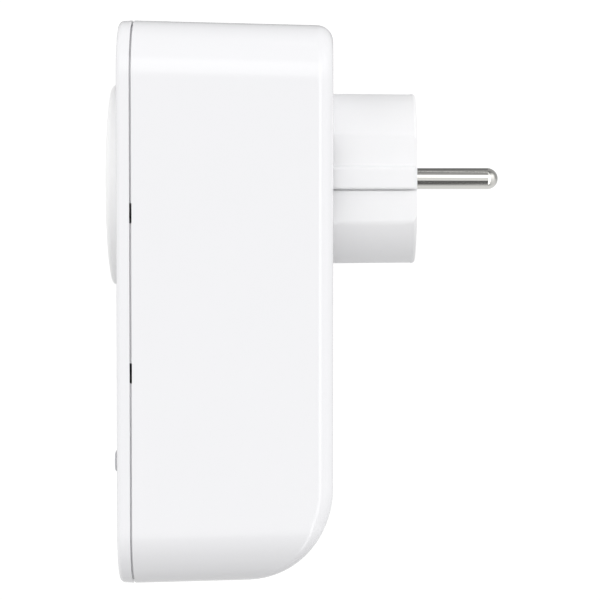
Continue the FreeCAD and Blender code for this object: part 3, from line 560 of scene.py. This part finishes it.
def plated_metal(name, code, rough):
    """Bright plate over worked metal, with faint streaks along the drawing direction."""
    material = bpy.data.materials.new(name)
    material.use_nodes = True
    tree = material.node_tree
    tree.nodes.clear()
    spot = put(tree, "ShaderNodeTexCoord").outputs["Object"]
    along = put(tree, "ShaderNodeMapping", {"Scale": (1.0, 0.04, 1.0)}, {"Vector": spot})
    streak = put(tree, "ShaderNodeTexNoise", {"Scale": 1 / 0.0008, "Detail": 3.0},
                 {"Vector": along.outputs["Vector"]})
    gloss = put(tree, "ShaderNodeMapRange",
                {"From Min": 0.3, "From Max": 0.7, "To Min": rough * 0.7, "To Max": rough * 1.4},
                {"Value": streak.outputs["Fac"]})
    bump = put(tree, "ShaderNodeBump", {"Strength": 0.06, "Distance": 0.00002},
               {"Height": streak.outputs["Fac"]})
    shader = put(tree, "ShaderNodeBsdfPrincipled", {"Base Color": linear(code), "Metallic": 1.0},
                 {"Roughness": gloss.outputs["Result"], "Normal": bump.outputs["Normal"]})
    put(tree, "ShaderNodeOutputMaterial", links={"Surface": shader.outputs["BSDF"]})
    return material


# Plate over turned brass: a mirror, slightly warm, with faint streaks along the pin.
bright_nickel = plated_metal("bright_nickel_plate_on_brass", "D9D8D4", 0.10)
for side in ("line", "neutral"):
    pin = softened(side + "_pin", side + "_plug_pin", 0.1)
    stand_for(pin, side + "_pin", bright_nickel)
stand_for(softened("plug_earth_strips", "plug_earth_strap", 0.1), "plug_earth_strips",
          bright_nickel)
stand_for(softened("socket_earth_clips", "socket_earth_springs", 0.1), "socket_earth_clips",
          bright_nickel)

# ==== Housing screws =======================================================================
# Four pan-head screws for plastic, cold-headed steel with a clear zinc plate and a cross
# recess, set deep in the counterbores and driven from the back into the cover's posts.

SCREW_HEAD_R, SCREW_HEAD, SCREW_R, SCREW_LENGTH = 2.7, 2.2, 1.45, 16.5
HEAD_ROUND, HEAD_SPREAD = 0.8, 1.6
TIP_END = 15.0
THREAD_PITCH, THREAD_DEPTH, THREAD_LENGTH, THREAD_FLANKS = 1.1, 0.22, 14.5, 25
RECESS_REACH, RECESS_HALF, RECESS_DEPTH = 1.5, 0.3, 1.2

profile = [(SCREW_R * 0.5, SCREW_SEAT - SCREW_LENGTH), (SCREW_R, SCREW_SEAT - TIP_END)]
for i in range(THREAD_FLANKS):
    root = THREAD_DEPTH if i % 2 else 0.0
    profile.append((SCREW_R - root, SCREW_SEAT - THREAD_LENGTH + i * THREAD_PITCH / 2))
profile += [(SCREW_R, SCREW_SEAT), (SCREW_HEAD_R, SCREW_SEAT)]
for along, inward in arc_steps(HEAD_ROUND, 6):
    profile.append((SCREW_HEAD_R - inward * HEAD_SPREAD,
                    SCREW_SEAT + SCREW_HEAD - HEAD_ROUND + along))
screw = turned("screw", profile, 40)
crown = SCREW_SEAT + SCREW_HEAD
slots = []
for wide, tall in ((RECESS_REACH, RECESS_HALF), (RECESS_HALF, RECESS_REACH)):
    slots.append(bar(-wide, wide, crown - RECESS_DEPTH, crown + 1, -tall, tall))
combine(screw, slots, "DIFFERENCE")
finish_edges(screw)


def repeated(name, points, model, material, turn_seed):
    """One mesh with the model at every (x, z) point in millimetres, each at its own turn."""
    spots = make_mesh(name, [(x * MM, 0.0, z * MM) for x, z in points], [])
    group = bpy.data.node_groups.new(name, "GeometryNodeTree")
    face = group.interface
    face.new_socket("Points", in_out="INPUT", socket_type="NodeSocketGeometry")
    model_in = face.new_socket("Model", in_out="INPUT", socket_type="NodeSocketObject")
    turn_in = face.new_socket("Largest turn", in_out="INPUT", socket_type="NodeSocketFloat")
    finish_in = face.new_socket("Finish", in_out="INPUT", socket_type="NodeSocketMaterial")
    face.new_socket("Geometry", in_out="OUTPUT", socket_type="NodeSocketGeometry")
    inputs = put(group, "NodeGroupInput")
    shape = put(group, "GeometryNodeObjectInfo", links={"Object": inputs.outputs["Model"]})
    turn = put(group, "FunctionNodeRandomValue", {"data_type": "FLOAT"},
               {"Max": inputs.outputs["Largest turn"]})
    turn.inputs["Seed"].default_value = turn_seed
    angles = put(group, "ShaderNodeCombineXYZ", links={"Y": turn.outputs[1]})
    placed = put(group, "GeometryNodeInstanceOnPoints",
                 links={"Points": inputs.outputs["Points"], "Instance": shape.outputs["Geometry"],
                        "Rotation": angles.outputs["Vector"]})
    real = put(group, "GeometryNodeRealizeInstances",
               links={"Geometry": placed.outputs["Instances"]})
    dressed = put(group, "GeometryNodeSetMaterial",
                  links={"Geometry": real.outputs["Geometry"], "Material": inputs.outputs["Finish"]})
    put(group, "NodeGroupOutput", links={"Geometry": dressed.outputs["Geometry"]})
    step = spots.modifiers.new("repeat", "NODES")
    step.node_group = group
    step[model_in.identifier] = model
    step[turn_in.identifier] = math.radians(90.0)
    step[finish_in.identifier] = material
    bpy.context.view_layer.update()
    apply_modifiers(spots)
    bpy.data.objects.remove(model)
    return spots


# Thin clear zinc: a grey metal with blurred reflections.
zinc_steel = plated_metal("clear_zinc_plate_on_steel", "B4B6B8", 0.28)
screws = repeated("housing_screw_set", SCREWS, screw, zinc_steel, 7)
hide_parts("housing_screws")
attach(screws, "housing")

# ==== Rating label =========================================================================
# Blank self-adhesive plate of satin polyester film in the recess on the back, with a printed
# border line. The film is smoother than the moulding round it and a little greyer.

BORDER_IN, BORDER_LINE = 1.2, 0.3


def printed_film(name, code, ink, low, high):
    """Film with a thin printed border inside the low and high corners, in millimetres."""
    material = moulded_plastic(name, code, 0.35)
    tree = material.node_tree
    shader = next(n for n in tree.nodes if n.type == "BSDF_PRINCIPLED")
    paper_tone = shader.inputs["Base Color"].links[0].from_socket
    place = put(tree, "ShaderNodeSeparateXYZ",
                links={"Vector": put(tree, "ShaderNodeTexCoord").outputs["Object"]})
    inside = []
    for margin in (BORDER_IN, BORDER_IN + BORDER_LINE):
        near = None
        for axis, (a, b) in zip("XZ", zip(low, high)):
            middle, half = (a + b) / 2 * MM, ((b - a) / 2 - margin) * MM
            away = calc(tree, "ABSOLUTE", calc(tree, "SUBTRACT", place.outputs[axis], middle))
            within = calc(tree, "LESS_THAN", away, half)
            near = within if near is None else calc(tree, "MULTIPLY", near, within)
        inside.append(near)
    border = calc(tree, "SUBTRACT", *inside)
    print_tone = put(tree, "ShaderNodeMix", {"data_type": "RGBA"}, {"Factor": border})
    tree.links.new(paper_tone, print_tone.inputs[6])
    print_tone.inputs[7].default_value = linear(ink)
    tree.links.new(print_tone.outputs[2], shader.inputs["Base Color"])
    return material


# Coated film: an even light grey with a soft sheen, and a grey line just inside its edge.
label_film = printed_film("satin_polyester_film_printed", "DCDDDF", "8A8C90",
                          (LABEL[0], LABEL[2]), (LABEL[1], LABEL[3]))
stand_for(softened("rating_label", "blank_rating_label", 0.05), "rating_label", label_film)

# ==== Lights ===============================================================================
# One milky polycarbonate moulding brings three small lights to the front of the cover. The
# chips behind it are encapsulated in yellow phosphor resin.

# Slightly clouded resin: light comes through, but nothing behind it can be made out.
milky_pc = bpy.data.materials.new("milky_polycarbonate_moulded")
milky_pc.use_nodes = True
milky_tree = milky_pc.node_tree
milky_tree.nodes.clear()
ripple = put(milky_tree, "ShaderNodeTexNoise", {"Scale": 1 / 0.004, "Detail": 2.0},
             {"Vector": put(milky_tree, "ShaderNodeTexCoord").outputs["Object"]})
dimple = put(milky_tree, "ShaderNodeBump", {"Strength": 0.05, "Distance": 0.00002},
             {"Height": ripple.outputs["Fac"]})
milky_shader = put(milky_tree, "ShaderNodeBsdfPrincipled",
                   {"Base Color": linear("F4F8FA"), "Roughness": 0.22, "IOR": 1.585,
                    "Transmission Weight": 0.5}, {"Normal": dimple.outputs["Normal"]})
put(milky_tree, "ShaderNodeOutputMaterial", links={"Surface": milky_shader.outputs["BSDF"]})
stand_for(softened("light_guide", "light_guide_moulding", 0.08), "light_guide", milky_pc)
phosphor = moulded_plastic("yellow_phosphor_resin_cast", "E9E3A8", 0.25)
stand_for(softened("led_chips", "led_chip_set", 0.08), "led_chips", phosphor)

# ==== Network port =========================================================================
# Modular socket in black PBT inside a folded, nickel-plated can. Eight phosphor bronze wires,
# gold plated, slope down into its mouth.

# Filled resin: near black with a dull sheen.
black_pbt = moulded_plastic("satin_black_pbt_moulded", "1B1B1D", 0.36)
stand_for(softened("ethernet_jack", "network_socket_body", 0.1), "ethernet_jack", black_pbt)
stand_for(softened("jack_shield", "network_socket_can", 0.05), "jack_shield", bright_nickel)
# Thin gold: deep yellow, and bright where the wires bend.
gold_wire = plated_metal("gold_plate_on_phosphor_bronze", "E3BE62", 0.16)
stand_for(softened("jack_contacts", "network_contact_wires", 0.03), "jack_contacts", gold_wire)

# ==== Socket contacts ======================================================================
# Split brass sleeves in the two chambers of a natural nylon carrier, with bent brass straps to
# the plug's pins. A stainless spring under the shutter's hub turns it back.

# Undyed nylon is a waxy cream. Brass off the press tool keeps a half-bright rolled face, and
# drawn spring wire is grey and fairly bright.
natural_nylon = moulded_plastic("natural_nylon_moulded", "DDD8C8", 0.42)
stamped_brass = plated_metal("stamped_brass", "C9A75C", 0.24)
spring_steel = plated_metal("drawn_stainless_spring_wire", "A9ABAD", 0.22)
for node, name, edge, material, slot in (
        ("contact_carrier", "contact_carrier_moulding", 0.15, natural_nylon, "natural_nylon"),
        ("line_socket_contact", "line_contact_sleeve", 0.08, stamped_brass, "brass"),
        ("neutral_socket_contact", "neutral_contact_sleeve", 0.08, stamped_brass, "brass"),
        ("line_busbar", "line_strap", 0.12, stamped_brass, "brass"),
        ("neutral_busbar", "neutral_strap", 0.12, stamped_brass, "brass"),
        ("earth_link", "earth_joining_strip", 0.1, stamped_brass, "brass"),
        ("earth_sleeve", "earth_pin_sleeve", 0.1, bright_nickel, "nickel"),
        ("shutter_spring", "shutter_return_spring", 0.0, spring_steel, "screw_steel")):
    stand_for(softened(node, name, edge), node, material)

# ==== Circuit board ========================================================================
# Glass-epoxy board under green solder mask. A pattern of paler lines stands for its copper
# tracks, and tinned joints stand where the legs come through to the front.

TRACK_MM = 2.4                # from one track to the next
TRACK_GAP, TRACK_RUN = 0.12, 3.1     # in track widths

# Baked mask: a smooth deep green with lighter lines between its long patches.
green_mask = moulded_plastic("green_solder_mask_on_glass_epoxy", "1F6B3F", 0.30)
mask_tree = green_mask.node_tree
mask_shader = next(n for n in mask_tree.nodes if n.type == "BSDF_PRINCIPLED")
mask_spot = put(mask_tree, "ShaderNodeTexCoord").outputs["Object"]
upright = put(mask_tree, "ShaderNodeMapping", {"Rotation": (math.radians(90), 0.0, 0.0)},
              {"Vector": mask_spot})
tracks = put(mask_tree, "ShaderNodeTexBrick",
             {"Scale": 1.0, "Mortar Size": TRACK_GAP * TRACK_MM * MM,
              "Brick Width": TRACK_RUN * TRACK_MM * MM, "Row Height": TRACK_MM * MM,
              "Color1": linear("1F6B3F"), "Color2": linear("1B6139"),
              "Mortar": linear("3F9A5E")}, {"Vector": upright.outputs["Vector"]})
mask_tree.links.new(tracks.outputs["Color"], mask_shader.inputs["Base Color"])
stand_for(softened("main_board", "circuit_board", 0.05), "main_board", green_mask)

BOARD_FRONT = -56.8
LEG_PITCH = 2.54
# Middle x, z and number of legs of every row.
leg_rows = [(-23.5, -34.5, 2), (-23.5, -46.0, 2), (0.0, -41.0, 5), (19.0, -32.5, 3),
            (20.0, -47.5, 5), (20.0, -58.5, 5), (0.0, -59.0, 4), (0.0, -31.5, 4),
            (-23.0, -57.0, 3), (-10.0, -75.0, 7), (-10.0, -72.5, 6)]
joint_places = [(x + (i - (count - 1) / 2) * LEG_PITCH, z) for x, z, count in leg_rows
                for i in range(count)]
joint = turned("joint", ((1.0, BOARD_FRONT + 0.05), (0.98, BOARD_FRONT - 0.08),
                         (0.62, BOARD_FRONT - 0.3), (0.36, BOARD_FRONT - 0.62),
                         (0.3, BOARD_FRONT - 1.0), (0.16, BOARD_FRONT - 1.12)), 16)
finish_edges(joint, 60.0)
# Reflowed solder: bright silver grey, a small highlight on every cone.
tinned = plated_metal("tin_solder_reflowed", "C6C8CA", 0.20)
joints = repeated("solder_joint_set", joint_places, joint, tinned, 11)
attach(joints, "housing")

# ==== Switches =============================================================================
# Two small push switches on the board, black bodies with black plungers: one behind the front
# button and one side-acting behind the reset hole.

for node, name, body in (("pair_switch", "pair_switch_case", "housing"),
                         ("pair_switch_plunger", "pair_switch_stem", "pair_switch_plunger"),
                         ("reset_switch", "reset_switch_case", "housing"),
                         ("reset_plunger", "reset_switch_stem", "reset_plunger")):
    stand_for(softened(node, name, 0.1), node, black_pbt, body)

# ==== Power supply =========================================================================
# Board parts of the supply and the mains filter: ferrite cores with taped windings on black
# bobbins, sleeved electrolytic cans, a boxed film capacitor, a round fuse and a surge disc.

WAVE_REPEAT = 0.314           # distance between the bands of a wave pattern of scale 1


def wound_tape(name, code, lap_mm):
    """Polyester tape wound in laps across the winding, with a fine step at every lap."""
    material = moulded_plastic(name, code, 0.32)
    tree = material.node_tree
    shader = next(n for n in tree.nodes if n.type == "BSDF_PRINCIPLED")
    laps = put(tree, "ShaderNodeTexWave",
               {"wave_type": "BANDS", "bands_direction": "Y", "wave_profile": "SAW",
                "Scale": WAVE_REPEAT / (lap_mm * MM), "Distortion": 0.4},
               {"Vector": put(tree, "ShaderNodeTexCoord").outputs["Object"]})
    step = put(tree, "ShaderNodeBump", {"Strength": 0.5, "Distance": 0.0001},
               {"Height": laps.outputs["Fac"]})
    tree.links.new(step.outputs["Normal"], shader.inputs["Normal"])
    return material


def sintered(name, code):
    """Matt ferrite with a fine grain of lighter specks."""
    material = moulded_plastic(name, code, 0.62, 0.0004, 0.35)
    tree = material.node_tree
    shader = next(n for n in tree.nodes if n.type == "BSDF_PRINCIPLED")
    speck = put(tree, "ShaderNodeTexVoronoi", {"Scale": 1 / 0.0007},
                {"Vector": put(tree, "ShaderNodeTexCoord").outputs["Object"]})
    tone = put(tree, "ShaderNodeMix", {"data_type": "RGBA"},
               {"Factor": speck.outputs["Distance"]})
    tone.inputs[6].default_value = linear(code)
    tone.inputs[7].default_value = linear("5A5A5E")
    tree.links.new(tone.outputs[2], shader.inputs["Base Color"])
    return material


# Ferrite is matt and nearly black. The tape has a soft sheen, shrunk sleeve and cast boxes a
# stronger one, dipped epoxy an uneven gloss, and chip epoxy almost none.
ferrite = sintered("sintered_ferrite", "2B2B2E")
yellow_tape = wound_tape("yellow_polyester_tape_wound", "D9B93C", 2.0)
black_sleeve = moulded_plastic("black_pvc_sleeve_shrunk", "141417", 0.28)
yellow_box = moulded_plastic("yellow_polyester_box_moulded", "DDB23A", 0.34)
blue_epoxy = moulded_plastic("blue_epoxy_dipped", "2A4C93", 0.30, 0.0012, 0.25)
black_epoxy = moulded_plastic("matt_black_epoxy_moulded", "202022", 0.55, 0.0003, 0.3)
for node, name, edge, material, slot in (
        ("transformer_bobbin", "supply_bobbin", 0.15, black_pbt, "dark_plastic"),
        ("transformer_winding", "supply_winding", 0.5, yellow_tape, "winding"),
        ("transformer_core", "supply_core", 0.2, ferrite, "ferrite"),
        ("choke_core", "filter_choke_core", 0.2, ferrite, "ferrite"),
        ("choke_winding", "filter_choke_coils", 0.4, yellow_tape, "winding"),
        ("coupling_transformer", "coupling_core", 0.25, ferrite, "ferrite"),
        ("bulk_capacitors", "electrolytic_cans", 0.0, black_sleeve, "can_black"),
        ("filter_capacitor", "film_capacitor_box", 0.0, yellow_box, "film_yellow"),
        ("fuse", "round_fuse", 0.0, black_sleeve, "can_black"),
        ("varistor", "surge_disc", 0.8, blue_epoxy, "varistor_blue"),
        ("bridge_rectifier", "bridge_rectifier_case", 0.2, black_epoxy, "dark_plastic")):
    stand_for(softened(node, name, edge), node, material)

# ==== Modem ================================================================================
# Chips in matt black epoxy, the network magnetics, a small crystal can, and a finned block of
# extruded aluminium on a grey silicone pad that cools the largest chip.

# Bare aluminium off the die is a soft silver grey. Cast silicone is dull.
extruded_aluminium = plated_metal("extruded_aluminium", "BFC2C6", 0.34)
silicone = moulded_plastic("grey_silicone_pad_cast", "8F9BA8", 0.60)
for node, name, edge, material, slot in (
        ("modem_chip", "modem_chip_case", 0.12, black_epoxy, "dark_plastic"),
        ("memory_chip", "memory_chip_case", 0.12, black_epoxy, "dark_plastic"),
        ("ethernet_magnetics", "magnetics_case", 0.2, black_epoxy, "dark_plastic"),
        ("crystal", "crystal_can", 0.15, bright_nickel, "nickel"),
        ("heat_sink", "finned_heat_sink", 0.12, extruded_aluminium, "aluminium"),
        ("thermal_pad", "silicone_pad", 0.0, silicone, "thermal_pad")):
    stand_for(softened(node, name, edge), node, material)

# ==== Leads and insulation =================================================================
# Two short PVC-covered leads run from the plug's straps to the board, brown and blue. A pale
# amber polyester sheet keeps the mains metal off the board's parts.

# Extruded PVC has an even satin skin, and the sheet is a little smoother.
brown_pvc = moulded_plastic("brown_pvc_extruded", "6B3F22", 0.38)
blue_pvc = moulded_plastic("blue_pvc_extruded", "2C55A8", 0.38)
amber_film = moulded_plastic("amber_polyester_sheet", "E4DCC0", 0.30)
for node, name, edge, material, slot in (
        ("line_wire", "brown_lead", 0.0, brown_pvc, "brown_wire"),
        ("neutral_wire", "blue_lead", 0.0, blue_pvc, "blue_wire"),
        ("insulation_sheet", "insulating_sheet", 0.04, amber_film, "sheet")):
    stand_for(softened(node, name, edge), node, material)
